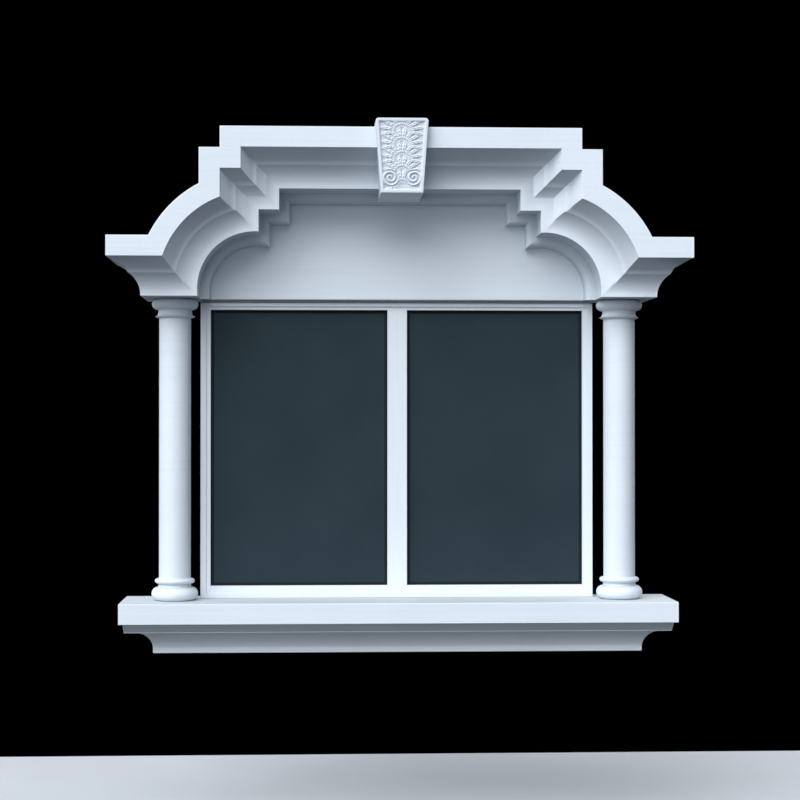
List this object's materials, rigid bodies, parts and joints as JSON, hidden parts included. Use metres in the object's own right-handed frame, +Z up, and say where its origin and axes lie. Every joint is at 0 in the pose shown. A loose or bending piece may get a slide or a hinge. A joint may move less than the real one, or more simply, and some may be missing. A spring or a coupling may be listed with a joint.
{
  "type": "window surround",
  "caption": "Classical window surround: a stepped and arched hood on round columns, with a carved keystone, plain tympanum, moulded sill and a fixed window with dark glass.",
  "frame": {"origin": "centre of the sill's back face, on the wall plane", "axes": "+X to the right seen from the front, +Y into the wall, +Z up; the front faces -Y"},
  "size_m": [2.294, 0.534, 2.102],
  "materials": {
    "cast_stone": "fine cast stone, painted matt cool white",
    "carved_stone": "carved leaf work, painted matt white, greyer in the hollows",
    "white_frame": "satin white window profile",
    "dark_glass": "dark slate tinted glass"
  },
  "bodies": {
    "root": {"sill": "cast_stone", "column_left": "cast_stone", "column_right": "cast_stone", "crown": "cast_stone", "tympanum": "cast_stone", "keystone": "carved_stone", "window_frame": "white_frame", "glass_left": "dark_glass", "glass_right": "dark_glass"}
  },
  "joints": []
}
